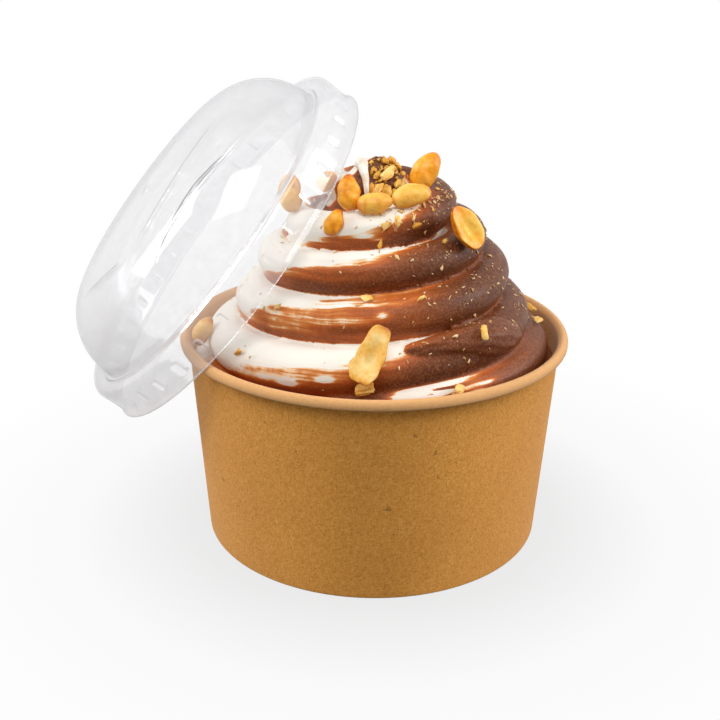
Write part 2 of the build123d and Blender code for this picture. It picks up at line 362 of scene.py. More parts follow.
def paper_material(name, tone, rolled):
    """Uncoated kraft paperboard: short pale and dark fibres, paler on the rolled rim."""
    s = Shading(bpy.data.materials.new(name))
    place = s.place()
    cloud = s.noise(place, 45.0, 3.0)
    grain = s.noise(place, 2600.0, 4.0, 0.7)
    fibres = []
    for turn, squeeze in ((0.6, (1.0, 1.0, 0.22)), (2.1, (0.25, 0.8, 1.0))):
        tilted = s.shader("Mapping", Vector=place, Rotation=(turn, turn / 2, turn), Scale=squeeze)
        fibres.append(s.noise(tilted, 3600.0, 2.0, 0.6))
    fibre = s.math("MULTIPLY", s.math("ADD", *fibres), 0.5)
    mottle = s.math("ADD", s.math("MULTIPLY", grain, 0.45), s.math("MULTIPLY", fibre, 0.55))
    dark, plain, pale = tone
    colour = s.ramp(mottle, [(0.30, dark), (0.50, plain), (0.70, pale)])
    colour = s.mix(s.ramp(cloud, [(0.35, grey(0.0)), (0.7, grey(0.16))]), colour, dark)
    up = s.add("SeparateXYZ", Vector=place).outputs["Z"]
    above = s.math("DIVIDE", s.math("SUBTRACT", up, cup_height - roll_height), 0.6 * MM)
    rim_share = s.math("MULTIPLY", s.math("MINIMUM", s.math("MAXIMUM", above, 0.0), 1.0), 0.7)
    colour = s.mix(rim_share, colour, rolled)
    speck = s.noise(place, 420.0, 1.0)
    colour = s.mix(s.ramp(speck, [(0.76, grey(0.0)), (0.80, grey(0.5))]), colour, srgb(88, 50, 20))
    height = s.math("ADD", mottle, s.math("MULTIPLY", cloud, 0.4))
    normal = s.bump(height, 0.7, 0.06 * MM)
    return s.finish(s.shader("BsdfPrincipled", Base_Color=colour, Roughness=0.82, Normal=normal,
                             Specular_IOR_Level=0.12, Sheen_Weight=0.15))


def soft_serve_material():
    """Vanilla and chocolate drawn out into streaks that follow the rope, with pale specks painted on the
    chocolate as glints.
    """
    s = Shading(bpy.data.materials.new("soft_serve"))
    place = s.place()
    mixing = s.attribute("mixing")
    swirls = s.add("TexNoise", Vector=place, Scale=110.0, Detail=2.0).outputs["Color"]
    swirls = s.vector("SUBTRACT", swirls, (0.5, 0.5, 0.5))
    swirls = s.vector("MULTIPLY", swirls, (0.05, 0.07, 0.0))
    rope = s.vector("ADD", s.attribute("rope_place", "Vector"), swirls)
    broad = s.noise(s.shader("Mapping", Vector=rope, Scale=(5.0, 15.0, 1.0)), 1.0)
    fine = s.noise(s.shader("Mapping", Vector=rope, Scale=(11.0, 58.0, 1.0)), 1.0)
    grain = s.noise(place, 1900.0, 3.0, 0.65)
    blotch = s.noise(place, 150.0, 4.0, 0.6)
    value = s.attribute("flavour")
    for streak, least, most in ((broad, 0.13, 0.42), (fine, 0.03, 0.16), (blotch, 0.08, 0.22)):
        reach = s.math("ADD", s.math("MULTIPLY", mixing, most - least), least)
        value = s.math("ADD", value, s.math("MULTIPLY", s.math("SUBTRACT", streak, 0.5), reach))
    colour = s.ramp(value, [
        (0.474, srgb(243, 237, 226)),
        (0.497, srgb(242, 206, 162)),
        (0.522, srgb(212, 130, 62)),
        (0.575, srgb(180, 88, 32)),
        (0.68, srgb(136, 67, 28)),
        (0.82, srgb(110, 54, 25)),
        (1.00, srgb(84, 41, 20)),
    ])
    # Painted highlight: pale specks from the fine grain, on the chocolate only, stand in for the glints of
    # its frosty sheen
    light = s.ramp(grain, [(0.45, grey(0.0)), (0.72, grey(0.30))])
    dark = s.ramp(value, [(0.5, grey(0.0)), (0.6, grey(1.0))])
    colour = s.mix(s.math("MULTIPLY", light, dark), colour, srgb(208, 140, 88))
    rough = s.ramp(value, [(0.45, grey(0.6)), (0.55, grey(0.46))])
    height = s.math("ADD", broad, s.math("MULTIPLY", fine, 0.35))
    normal = s.bump(height, 0.35, 0.35 * MM)
    normal = s.bump(grain, 0.6, 0.09 * MM, normal)
    return s.finish(s.shader("BsdfPrincipled", Base_Color=colour, Roughness=rough, Normal=normal,
                             Specular_IOR_Level=0.22, Subsurface_Weight=0.08,
                             Subsurface_Radius=(1.0, 0.7, 0.5), Subsurface_Scale=1.2 * MM))


def vanilla_material():
    """Plain vanilla with painted shade: faintly darker in the hollows of its bumps."""
    s = Shading(bpy.data.materials.new("vanilla"))
    soft = s.noise(s.place(), 260.0, 3.0)
    # Painted shade: the noise that lowers the bumps also darkens the colour there
    colour = s.ramp(soft, [(0.35, srgb(226, 206, 186)), (0.55, srgb(244, 238, 228))])
    normal = s.bump(soft, 0.3, 0.2 * MM)
    return s.finish(s.shader("BsdfPrincipled", Base_Color=colour, Roughness=0.5, Normal=normal))


def nut_material(name, skin, flesh, edge):
    """Roasted peanut: oily, golden, browner in blotches, paler where it is broken, with painted shade
    darkening its outline and ends.
    """
    s = Shading(bpy.data.materials.new(name))
    place = s.place()
    blotch = s.noise(place, 230.0, 3.0, 0.55)
    grain = s.noise(place, 1300.0, 4.0, 0.65)
    roast = s.math("ADD", s.math("MULTIPLY", blotch, 0.7), s.math("MULTIPLY", grain, 0.3))
    # Painted shade: the nut gets darker along its outline and at its ends
    roast = s.math("SUBTRACT", roast, s.math("MULTIPLY", s.attribute("painted_edge_shade"), 0.22))
    outside = s.ramp(roast, [(0.28, edge), (0.46, skin), (0.72, flesh)])
    inside = s.ramp(roast, [(0.22, edge), (0.38, skin), (0.62, flesh)])
    colour = s.mix(s.attribute("cut_face"), outside, inside)
    normal = s.bump(blotch, 0.6, 0.6 * MM)
    normal = s.bump(grain, 0.4, 0.10 * MM, normal)
    rough = s.ramp(grain, [(0.3, grey(0.26)), (0.7, grey(0.5))])
    return s.finish(s.shader("BsdfPrincipled", Base_Color=colour, Roughness=rough, Normal=normal,
                             Specular_IOR_Level=0.35, Subsurface_Weight=0.15,
                             Subsurface_Radius=(1.0, 0.6, 0.25), Subsurface_Scale=1.0 * MM))


def lid_material():
    """Thin clear sheet, faintly milky, with waves and a few creases from forming; each crease also carries
    a dark line of painted shade.
    """
    s = Shading(bpy.data.materials.new("clear_lid"))
    place = s.place()
    lid_place = s.attribute("lid_place", "Vector")
    slow = s.noise(place, 45.0, 1.0)
    haze = s.noise(place, 320.0, 3.0, 0.6)
    wander = s.math("MULTIPLY", s.math("SUBTRACT", s.noise(place, 90.0, 3.0), 0.5), 2.4)
    crease = 0.0
    for first, last in crease_ends:
        run = Vector(last) - Vector(first)
        along, across = run / run.length ** 2, Vector((-run.y, run.x)) / run.length
        start = s.vector("SUBTRACT", lid_place, (*first, 0))
        part = s.vector("DOT_PRODUCT", start, (*along, 0))
        away = s.vector("DOT_PRODUCT", start, (*across, 0))
        away = s.math("ABSOLUTE", s.math("ADD", away, wander))
        line_share = s.ramp(away, [(0.0, grey(1.0)), (0.35, grey(0.0))])
        end_share = s.ramp(part, [(0.0, grey(0.0)), (0.12, grey(1.0)),
                                  (0.85, grey(1.0)), (1.0, grey(0.0))])
        crease = s.math("MAXIMUM", crease, s.math("MULTIPLY", line_share, end_share))
    normal = s.bump(slow, 0.2, 0.5 * MM)
    normal = s.bump(crease, 0.6, 0.3 * MM, normal)
    facing = s.add("LayerWeight", Blend=0.3, Normal=normal).outputs["Facing"]
    tint = s.ramp(facing, [(0.0, srgb(254, 254, 255)), (0.70, srgb(249, 249, 251)),
                           (0.92, srgb(140, 142, 150))])
    # Painted shade: each crease darkens the sheet's tint along its line
    tint = s.mix(s.math("MULTIPLY", crease, 0.9), tint, srgb(120, 122, 128))
    clear = s.shader("BsdfTransparent", Color=tint)
    gloss = s.shader("BsdfGlossy", Color=grey(1.0), Roughness=0.06, Normal=normal)
    shine = s.math("MULTIPLY", s.shader("Fresnel", IOR=1.45, Normal=normal), 0.7)
    sheet = s.shader("MixShader", n0=shine, n1=clear, n2=gloss)
    front = s.shader("BsdfDiffuse", Color=srgb(252, 254, 254))
    through = s.shader("BsdfTranslucent", Color=srgb(252, 254, 254))
    milk = s.shader("MixShader", n0=0.6, n1=front, n2=through)
    share = s.ramp(haze, [(0.3, grey(0.10)), (0.75, grey(0.16))])
    # Less milky along the creases, which keeps their painted shade dark
    share = s.math("MULTIPLY", share, s.math("SUBTRACT", 1.0, s.math("MULTIPLY", crease, 0.8)))
    return s.finish(s.shader("MixShader", n0=share, n1=sheet, n2=milk))


def floor_material():
    """Pale floor with a painted shadow, a grey ring round the cup's foot, over the faint real shadow near
    the cup; plain white further out.
    """
    s = Shading(bpy.data.materials.new("floor"))
    away = s.vector("LENGTH", s.place())
    # Painted shadow: less white close to the cup, a grey ring round its foot
    share = s.ramp(away, [(0.045, grey(0.80)), (0.075, grey(0.94)), (0.13, grey(1.0))])
    diffuse = s.shader("BsdfDiffuse", Color=grey(0.12))
    white = s.shader("Emission", Color=grey(1.0), Strength=1.0)
    return s.finish(s.shader("MixShader", n0=s.math("MULTIPLY", s.seen(), share), n1=diffuse, n2=white))


def mesh_object(name, points, faces, material, slot, smooth=True):
    """A visible piece; the floor alone has no slot and rides nothing."""
    mesh = bpy.data.meshes.new(name)
    mesh.from_pydata([tuple(p) for p in points], [], faces)
    mesh.validate()
    mesh.polygons.foreach_set("use_smooth", [smooth] * len(mesh.polygons))
    mesh.materials.append(material)
    piece = bpy.data.objects.new(name, mesh)
    bpy.context.collection.objects.link(piece)
    if slot:
        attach(piece, "root")
    return piece


def mark(piece, name, values, kind="FLOAT"):
    """Give each point of a piece a named value that its material reads."""
    layer = piece.data.attributes.new(name, kind, "POINT")
    layer.data.foreach_set("vector" if kind == "FLOAT_VECTOR" else "value", values)


def join(all_points, all_faces, points, faces):
    """Add one mesh to the lists of points and faces of many."""
    start = len(all_points)
    all_points += list(points)
    all_faces += [tuple(i + start for i in face) for face in faces]


def ring_faces(rings, around, closed_rings=False):
    """Quads between rings of points that each go once round."""
    faces = []
    for ring in range(rings if closed_rings else rings - 1):
        other = (ring + 1) % rings
        for step in range(around):
            after = (step + 1) % around
            faces.append((ring * around + step, ring * around + after,
                          other * around + after, other * around + step))
    return faces


def tube_faces(rings, around):
    """Faces of a tube between its rings, with a flat face on each end."""
    last = (rings - 1) * around
    ends = [tuple(range(around))[::-1], tuple(range(last, last + around))]
    return ring_faces(rings, around) + ends


def revolved(profile, around, shift=None):
    """Points of a closed profile of (distance, height) turned round Z; shift moves a ring."""
    profile = np.asarray(profile)
    angles = 2 * np.pi * np.arange(around) / around
    distance, height = (np.repeat(column[:, None], around, axis=1) for column in profile.T)
    angle = np.repeat(angles[None, :], len(profile), axis=0)
    if shift is not None:
        distance, height = shift(distance, height, angle)
    points = np.stack([distance * np.cos(angle), distance * np.sin(angle), height], axis=-1)
    return points.reshape(-1, 3)


def arc(centre, radius, start, sweep, steps, radius_z=None):
    """Points on an arc of a circle or an ellipse in the (distance, height) plane."""
    angles = np.radians(start + sweep * np.linspace(0, 1, steps + 1))
    return [(centre[0] + radius * math.cos(a), centre[1] + (radius_z or radius) * math.sin(a))
            for a in angles]


def line(first, last, steps):
    """Points from first towards last, without last."""
    return [tuple(np.add(first, np.subtract(last, first) * i / steps)) for i in range(steps)]


def wall_radius(height):
    """Outer radius of the conical wall."""
    roll_centre = cup_height - roll_height / 2
    flare = foot_inset - roll_width + board
    return rim_diameter / 2 - foot_inset + flare * height / roll_centre


def make_side_wall(material):
    """Rolled rim, conical wall with its lapped seam, and the hem folded up inside."""
    roll_centre = cup_height - roll_height / 2
    roll_foot = roll_centre - roll_height / 2
    channel = board + 2 * seat_gap
    half = roll_width / 2
    tuck = math.degrees(math.asin((half - board - curl_gap) / half))
    inner = (wall_radius(roll_centre) - board, roll_centre)
    outer = (wall_radius(roll_foot + board), roll_foot + board)
    hem = wall_radius(hem_height) - board
    fold = wall_radius(board) - board
    profile = arc((fold, board), board, -90, 90, 6)
    profile += line((wall_radius(board), board), outer, 40)[1:]
    profile += [outer, (outer[0] + curl_gap, roll_foot + board / 2)]
    profile += arc((rim_diameter / 2 - half, roll_centre), half, -tuck, tuck + 180, 40, roll_height / 2)
    profile += line(inner, (hem, hem_height), 12)[1:]
    profile += line((hem, hem_height), (fold, board), 4)
    profile += arc((fold - channel / 2, board), channel / 2, 0, 180, 6, board / 4)
    profile += line((fold - channel, board), (hem - channel, hem_height), 4)[1:]
    profile += [(hem - channel, hem_height), (hem - channel - board, hem_height)]
    profile += arc((fold - channel, board), board, 180, 90, 6)
    lap_angle = lap_width / wall_radius(cup_height / 2)

    def shift(distance, height, angle):
        past = np.mod(angle - math.radians(lap_azimuth), 2 * np.pi)
        raised = np.clip(past / seam_edge, 0, 1) * np.clip((lap_angle - past) / seam_edge, 0, 1)
        outside = distance > wall_radius(height) - board / 4
        below = np.clip((roll_foot - height) / (1.5 * MM), 0, 1)
        seam = raised * outside * below * lap_step * seam_share
        # Paper is never quite round or level: waves of about a tenth of a millimetre
        wobble = 0.10 * MM * np.sin(2 * angle + 0.7) + 0.06 * MM * np.sin(5 * angle + height * 60)
        lift = 0.07 * MM * np.sin(3 * angle) * (height / cup_height) ** 4
        fade = np.clip(height / (10 * MM), 0, 1)
        return distance + seam + wobble * fade, height + lift

    points = revolved(profile, steps_around_cup, shift)
    faces = ring_faces(len(profile), steps_around_cup, closed_rings=True)
    piece = mesh_object("paper_wall", points, faces, material, "kraft_paperboard")
    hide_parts("side_wall")


def rope_at(turns, rows):
    """Distance from the axis, height and radius of the rope, smooth between its rows."""
    table = np.array(rows)
    last = len(table) - 1
    turns = np.clip(turns, table[0, 0], table[-1, 0])
    row = np.clip(np.searchsorted(table[:, 0], turns, side="right") - 1, 0, last - 1)
    before, after = table[row], table[row + 1]
    span = (after[..., 0] - before[..., 0])[..., None]
    step = (turns - before[..., 0])[..., None] / span
    ends = []
    for i in (row, row + 1):
        low, high = table[np.maximum(i - 1, 0)], table[np.minimum(i + 1, last)]
        ends.append((high - low) / (high[..., :1] - low[..., :1]) * span)
    bend = (1 - step) * ends[0] - step * ends[1] + (2 * step - 1) * (after - before)
    value = before + step * (after - before) + step * (1 - step) * bend
    distance, height, radius = (value[..., column] for column in (1, 2, 3))
    return distance * rim_diameter / 2, cup_height + height * swirl_rise, radius * rope_radius


def rope_frames(turns, rows):
    """Centres and the outward, upward and lengthwise directions along a rope."""
    def centre_at(values):
        distance, height, _ = rope_at(values, rows)
        angle = -2 * np.pi * values
        return np.stack([distance * np.cos(angle), distance * np.sin(angle), height], axis=-1)

    turns = np.atleast_1d(np.asarray(turns, float))
    nudge = 1 / 1200
    ahead = centre_at(np.minimum(turns + nudge, rows[-1][0]))
    behind = centre_at(np.maximum(turns - nudge, rows[0][0]))
    along = ahead - behind
    along /= np.linalg.norm(along, axis=1)[:, None]
    angle = -2 * np.pi * turns
    outward = np.stack([np.cos(angle), np.sin(angle), 0 * angle], axis=-1)
    outward -= along * (outward * along).sum(axis=1)[:, None]
    outward /= np.linalg.norm(outward, axis=1)[:, None]
    return centre_at(turns), outward, np.cross(along, outward), along


def rope_tube(rows):
    """Points and faces of a closed rope with round ends."""
    count = int(round((rows[-1][0] - rows[0][0]) * sections_per_turn))
    turns = np.linspace(rows[0][0], rows[-1][0], max(count, 12))
    radius = rope_at(turns, rows)[2]
    centre, outward, upward, along = rope_frames(turns, rows)
    rise = np.radians(np.linspace(82, 0, 7))[:-1]

    def cap(i, way, a):
        return centre[i] + way * along[i] * radius[i] * math.sin(a), radius[i] * math.cos(a), i

    rings = [cap(0, -1, a) for a in rise]
    rings += [(centre[i], radius[i], i) for i in range(len(turns))]
    rings += [cap(-1, 1, a) for a in rise[::-1]]
    angles = 2 * np.pi * np.arange(steps_around_rope) / steps_around_rope
    cosines, sines = np.cos(angles)[:, None], np.sin(angles)[:, None]
    points = []
    for spot, size, i in rings:
        points += list(spot + size * (cosines * outward[i] + sines * upward[i]))
    return points, tube_faces(len(rings), steps_around_rope)


def core_profile():
    """Closed half section of the middle of the swirl, down to just above the filling."""
    inside = wall_radius(fill_level) - board - fill_gap
    points = [(0, fill_level - core_depth), (inside, fill_level - core_depth), (inside, fill_level)]
    neck = []
    for turn in (2.5, 1.5, 0.5, -0.5):
        lower, upper = rope_at(turn + 1.0, rope_shares), rope_at(turn, rope_shares)
        neck.append(((lower[0] + upper[0]) / 2 - core_inset, (lower[1] + upper[1]) / 2))
    distance, height, radius = rope_at(3.5, rope_shares)
    points += [(distance, height - radius / 2)] + neck
    points += [(x * rim_diameter / 2, cup_height + z * swirl_rise) for x, z in peak_shares]
    return points


def rope_place(points, rows):
    """Turn, angle round the rope and distance from its face, for the two nearest laps."""
    azimuth = np.arctan2(points[:, 1], points[:, 0])
    away = np.hypot(points[:, 0], points[:, 1])
    laps = []
    for lap in range(-2, 7):
        here = np.mod(-azimuth / (2 * np.pi), 1) + lap
        held = np.clip(here, rows[0][0], rows[-1][0])
        distance, height, radius = rope_at(held, rows)
        gap = np.hypot(away - distance, points[:, 2] - height) - radius + np.abs(here - held) * past_end
        laps.append((here, np.arctan2(points[:, 2] - height, away - distance), gap))
    laps = np.array(laps)
    order = np.argsort(laps[:, 2], axis=0)
    columns = np.arange(len(points))
    return laps[order[0], :, columns].T, laps[order[1], :, columns].T


def wave(values, *terms):
    """Sum of sines: each term is (waves per unit, phase, height)."""
    return sum(height * np.sin(2 * np.pi * rate * values + phase) for rate, phase, height in terms)


def flavour_share(turn, side):
    """Above a half is chocolate, below is vanilla; also how far the two are mixed."""
    lead = np.interp(turn, *zip(*edge_shares))
    upper_edge = np.radians(edge_start + lead) - 2 * np.pi * turn
    half = math.radians(chocolate_half)
    depth = np.interp(turn, *zip(*depth_shares))
    share = 0.5 * (np.cos(side - upper_edge + half) - math.cos(half))
    share = 0.5 + share * np.where(share > 0, depth, 1)
    share += wave(turn, (2.9, 1.4, 0.02), (6.3, 0.2, 0.015))
    # Both ends of the rope are chocolate
    share += (0.95 - share) * np.clip((-0.58 - turn) / 0.05, 0, 1)
    share += (0.80 - share) * np.clip((turn - 4.213) / 0.025, 0, 1)
    for at_turn, at_side, long, wide, strength in patch_shares:
        off = ((turn - at_turn) / long) ** 2 + ((np.degrees(side) - at_side) / wide) ** 2
        share -= strength * np.exp(-off)
    return share, 1 - depth


def core_mesh():
    """Points and faces of the closed core."""
    profile = core_profile()
    around = steps_around_core
    core = revolved(profile[1:-1], around)
    points = list(core) + [(0, 0, profile[0][1]), (0, 0, profile[-1][1])]
    faces = ring_faces(len(profile) - 2, around)
    bottom, top, last = len(core), len(core) + 1, len(core) - around
    faces += [((i + 1) % around, i, bottom) for i in range(around)]
    faces += [(last + i, last + (i + 1) % around, top) for i in range(around)]
    return points, faces


def read_vectors(mesh, kind):
    """A vector of each point of a mesh: its place, co, or its normal."""
    values = np.empty(len(mesh.vertices) * 3)
    mesh.vertices.foreach_get(kind, values)
    return values.reshape(-1, 3)


def make_swirl(material):
    """One skin over the rope, the fold and the core, with the flavours marked."""
    all_points, all_faces = [], []
    for points, faces in (rope_tube(rope_shares), rope_tube(fold_shares), core_mesh()):
        join(all_points, all_faces, points, faces)
    piece = mesh_object("swirl", all_points, all_faces, material, "soft_serve")
    remesh = piece.modifiers.new("skin", "REMESH")
    remesh.mode = "VOXEL"
    remesh.voxel_size = voxel
    remesh.use_smooth_shade = True
    smooth = piece.modifiers.new("even", "SMOOTH")
    smooth.factor = 0.5
    smooth.iterations = 5
    graph = bpy.context.evaluated_depsgraph_get()
    mesh = bpy.data.meshes.new_from_object(piece.evaluated_get(graph))
    piece.modifiers.clear()
    old = piece.data
    piece.data = mesh
    bpy.data.meshes.remove(old)

    points, normals = read_vectors(mesh, "co"), read_vectors(mesh, "normal")
    (turn, side, gap), (next_turn, next_side, next_gap) = rope_place(points, rope_shares)
    fold_turn, fold_side, fold_gap = rope_place(points, fold_shares)[0]
    on_fold = fold_gap < gap

    ridge = wave(side / (2 * np.pi), (5, 0.4, 0.10 * MM), (11, 1.9, 0.05 * MM))
    ridge = ridge * (0.6 + 0.4 * np.sin(2 * np.pi * 1.7 * turn))
    swell = wave(turn, (3.3, 0.2, 0.16 * MM), (7.1, 2.2, 0.08 * MM), (17.0, 1.1, 0.03 * MM))
    reach = np.clip((points[:, 2] - fill_level) / (3 * MM), 0, 1)
    torn = 0.16 * MM * np.sin(5 * fold_side + 60 * fold_turn)
    torn += 0.10 * MM * np.sin(11 * fold_side - 130 * fold_turn)
    swell = np.where(on_fold, torn, swell)
    points += normals * ((ridge + swell) * reach)[:, None]
    mesh.vertices.foreach_set("co", points.ravel())

    share, mixing = flavour_share(turn, side)
    hold = np.clip(0.5 + (next_gap - gap) / (2 * flavour_blend), 0.5, 1)
    share = hold * share + (1 - hold) * flavour_share(next_turn, next_side)[0]
    paler = np.clip((fold_turn - 3.13) / 0.08, 0, 1) * np.clip(np.sin(fold_side), 0, 1)
    fold_share = 0.92 - 0.35 * paler
    hold = np.clip(0.5 + (fold_gap - gap) / (2 * flavour_blend), 0, 1)
    share = hold * share + (1 - hold) * fold_share
    mark(piece, "flavour", share)
    mark(piece, "mixing", np.where(on_fold, fold_mixing, mixing))
    rope = np.stack([turn, side / (2 * np.pi), 0 * turn], axis=-1)
    mark(piece, "rope_place", rope.ravel(), "FLOAT_VECTOR")
    mesh.polygons.foreach_set("use_smooth", [True] * len(mesh.polygons))
    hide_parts("soft_serve")
    return piece


def make_filling(material):
    """The part of the frozen mass that the paper hides."""
    floor = base_recess + board + fill_gap
    inset = board + fill_gap
    top = fill_level - core_depth - filling_gap
    profile = [(axis_gap, floor), (wall_radius(floor) - inset, floor),
               (wall_radius(top) - inset, top), (axis_gap, top)]
    points = revolved(profile, steps_around_core)
    faces = ring_faces(len(profile), steps_around_core, closed_rings=True)
    piece = mesh_object("filling", points, faces, material, "soft_serve")
    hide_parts("soft_serve")


def seat_matrix(turn, side, spin, rows):
    """Z off the rope's face, X along the rope's climb, as in the part's source."""
    centre, outward, upward, along = (values[0] for values in rope_frames([turn], rows))
    radius = rope_at(turn, rows)[2] + nut_gap
    angle = math.radians(side)
    normal = math.cos(angle) * outward + math.sin(angle) * upward
    across = -math.sin(angle) * outward + math.cos(angle) * upward
    spot = centre + radius * normal
    seat = Matrix.Identity(4)
    for row in range(3):
        seat[row] = (-along[row], across[row], normal[row], spot[row])
    return seat @ Matrix.Rotation(math.radians(spin), 4, "Z")


def place_mesh(points, matrix):
    """Points moved by a matrix."""
    return [matrix @ Vector(p) for p in points]


def make_nut(number, place, material, rng):
    """Half a peanut: a domed back, a flat face with its dent, rounded edges darkened by painted shade; one
    is broken.
    """
    turn, side, spin, tip, roll, slide, size = place
    length, width = nut_length * size, nut_width * size
    points, cut, painted_edge_shade = [], [], []
    bend = rng.uniform(-nut_bend, nut_bend)
    knobs = [(rng.uniform(1.5, 4.5), rng.randint(1, 4), rng.uniform(0, random_spin)) for _ in range(5)]
    ragged = 1.0 if number == broken_nut else 0.0
    for i in range(rings_of_nut + 1):
        swing = math.pi * i / rings_of_nut
        lengthwise = -math.cos(swing)
        reach = length * (nut_blunt_share if lengthwise < 0 else 1 - nut_blunt_share)
        power = blunt_end_power if lengthwise < 0 else sharp_end_power
        half = width / 2 * math.sin(swing) ** (power - 0.62 * ragged)
        half *= 1 - ragged * (0.27 - 0.07 * math.sin(3.1 * lengthwise + 2.6))
        for j in range(steps_around_nut):
            angle = 2 * math.pi * j / steps_around_nut
            y, z = math.cos(angle), math.sin(angle)
            if z < 0:
                y = math.copysign(abs(y) ** flat_power, y)
                dent = math.exp(-(y / 0.42) ** 2 - ((lengthwise + 0.05) / 0.62) ** 2)
                flat = 1 - math.exp(-(z / 0.25) ** 2)
                z = -flat_depth * flat + dent_depth * dent * flat
                cut.append(flat)
            else:
                cut.append(0.0)
            lump = 1 + sum(nut_lump * math.sin(a * 2 * lengthwise + b * angle + c) for a, b, c in knobs)
            # Painted shade: near 1 along the outline between back and flat face and at both ends
            painted_edge_shade.append(min(1.0, abs(lengthwise) ** 5 + 0.8 * math.exp(-(math.sin(angle) / 0.16) ** 2)))
            lump += ragged * (0.08 * math.sin(5 * lengthwise + 0.6) * math.cos(angle + 1.0)
                              + 0.04 * math.sin(9 * lengthwise + 2 * angle))
            middle = bend * width * lengthwise ** 2
            points.append((lengthwise * reach, half * y * lump + middle, half * z * lump))
    faces = ring_faces(rings_of_nut + 1, steps_around_nut)
    lean = Matrix.Rotation(math.radians(-tip), 4, "Y") @ Matrix.Rotation(math.radians(roll), 4, "X")
    points = place_mesh(points, lean)
    lowest = min(point.z for point in points)
    seat = seat_matrix(turn, side, spin, rope_shares) @ Matrix.Translation((length * slide, 0, -lowest))
    piece = mesh_object(f"nut_{number}", place_mesh(points, seat), faces, material, "peanut")
    mark(piece, "cut_face", cut)
    mark(piece, "painted_edge_shade", painted_edge_shade)
    weld = bmesh.new()
    weld.from_mesh(piece.data)
    bmesh.ops.remove_doubles(weld, verts=weld.verts, dist=0.01 * MM)
    bmesh.ops.recalc_face_normals(weld, faces=weld.faces)
    weld.to_mesh(piece.data)
    weld.free()
    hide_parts(f"peanut_half_{number}")


def broken_bit(rng, length, width, depth, corners):
    """A small hull with flat broken faces that fills its box, sitting on the XY plane."""
    shape = bmesh.new()
    for _ in range(corners):
        x, y, z = (rng.uniform(-1, 1) for _ in range(3))
        scale = 1 / max(abs(x), abs(y), abs(z), 0.2) * rng.uniform(0.72, 1)
        shape.verts.new((x * scale * length / 2, y * scale * width / 2, z * scale * depth / 2 + depth / 2))
    result = bmesh.ops.convex_hull(shape, input=shape.verts)
    spare = result["geom_interior"] + result["geom_unused"]
    spare = [vert for vert in shape.verts if vert in spare or not vert.link_faces]
    bmesh.ops.delete(shape, geom=spare, context="VERTS")
    bevel = min(length, width, depth) * bit_bevel_share
    bmesh.ops.bevel(shape, geom=shape.edges, offset=bevel, segments=2, affect="EDGES")
    shape.verts.index_update()
    faces = [tuple(v.index for v in face.verts) for face in shape.faces]
    points = np.array([v.co for v in shape.verts])
    shape.free()
    low, high = points.min(axis=0), points.max(axis=0)
    points = ((points - low) / (high - low) - (0.5, 0.5, 0)) * (length, width, depth)
    return points, faces


def make_chip(number, place, rows, material, rng):
    """A broken piece of peanut on the rope's face."""
    turn, side, spin, size = place
    width = chip_width * size * chip_slimness[number % len(chip_slimness)]
    points, faces = broken_bit(rng, chip_length * size, width, chip_depth * size, chip_corners)
    points = place_mesh(points, seat_matrix(turn, side, spin, rows))
    piece = mesh_object(f"chip_{number}", points, faces, material, "peanut", smooth=False)
    mark(piece, "cut_face", [1.0] * len(points))
    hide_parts(f"peanut_chip_{number}")


def resting(spot, normal, sink, spin):
    """Z off the swirl's face at a spot, a little sunk into it."""
    turned = normal.to_track_quat("Z", "Y").to_matrix().to_4x4()
    return Matrix.Translation(spot - normal * sink) @ turned @ Matrix.Rotation(spin, 4, "Z")


def make_crumbs(tree, material, rng):
    """Fine crumbs pressed into the swirl, most of them on the chocolate."""
    all_points, all_faces, inner = [], [], []
    made = 0
    while made < crumb_count:
        lap = rng.choice(crumb_laps)
        turn = lap + rng.gauss(0.10, 0.10) if rng.random() < 0.85 else lap + rng.uniform(0.2, 1.0)
        side = rng.gauss(*crumb_side_degrees)
        if turn > last_crumb_turn:
            continue
        seat = seat_matrix(turn, side, rng.uniform(0, 360), rope_shares)
        normal = seat.col[2].to_3d()
        hit, face_normal, _, _ = tree.ray_cast(seat.col[3].to_3d() + normal * 4 * MM, -normal, 6 * MM)
        if hit is None:
            continue
        size = rng.choice(crumb_millimetres) * MM
        matrix = resting(hit, face_normal, size * 0.15, rng.uniform(0, random_spin))
        points, faces = broken_bit(rng, size * rng.uniform(1.0, 2.2), size, size * 0.5, crumb_corners)
        join(all_points, all_faces, place_mesh(points, matrix), faces)
        inner += [rng.choice((1.0, 1.0, 1.0, 0.8, 0.0))] * len(points)
        made += 1
    mark(mesh_object("crumbs", all_points, all_faces, material, "peanut"), "cut_face", inner)


def make_peak_bits(tree, material, rng):
    """The heap of broken bits on the peak, each with smaller ones beside it, and the flakes."""
    heap = list(bit_places)
    for spot, spin, *sizes, flesh in bit_places[:heap_rows]:
        for _ in range(heap_companions):
            near = tuple(value + rng.uniform(-heap_reach, heap_reach) for value in spot)
            small = rng.uniform(0.4, 0.75)
            heap.append((near, rng.uniform(0, 360), *(size * small for size in sizes), rng.random()))
    all_points, all_faces, inner = [], [], []
    for spot, spin, *sizes, flesh in heap:
        hit, face_normal, _, _ = tree.find_nearest(Vector(spot) * MM)
        matrix = resting(hit, face_normal, bit_sink, math.radians(spin))
        points, faces = broken_bit(rng, *(size * MM for size in sizes), bit_corners)
        join(all_points, all_faces, place_mesh(points, matrix), faces)
        inner += [flesh] * len(points)
    mark(mesh_object("peak_bits", all_points, all_faces, material, "peanut"), "cut_face", inner)


